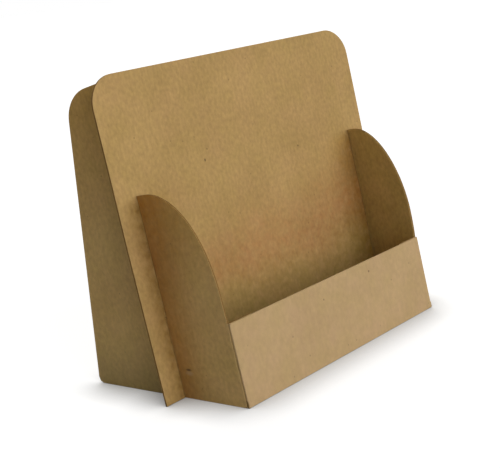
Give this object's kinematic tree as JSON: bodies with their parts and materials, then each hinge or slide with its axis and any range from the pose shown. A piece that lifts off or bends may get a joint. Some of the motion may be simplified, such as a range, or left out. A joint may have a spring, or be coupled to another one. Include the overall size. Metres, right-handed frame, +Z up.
{
  "type": "postcard display stand",
  "caption": "Counter stand of folded kraft board: a leaning back panel slotted over splayed side sheets, with a low lip that holds a stack of postcards.",
  "frame": {"origin": "middle of the base's underside, on the floor and on the centre plane", "axes": "+X across the stand, +Y from the lip to the rear, +Z up"},
  "size_m": [0.1912, 0.0939, 0.159],
  "materials": {
    "kraft_board": "uncoated brown kraft board, matte, with fine fibres and darker cut edges"
  },
  "bodies": {
    "root": {"back_panel": "kraft_board", "left_side": "kraft_board", "right_side": "kraft_board", "front_tray": "kraft_board"}
  },
  "joints": []
}
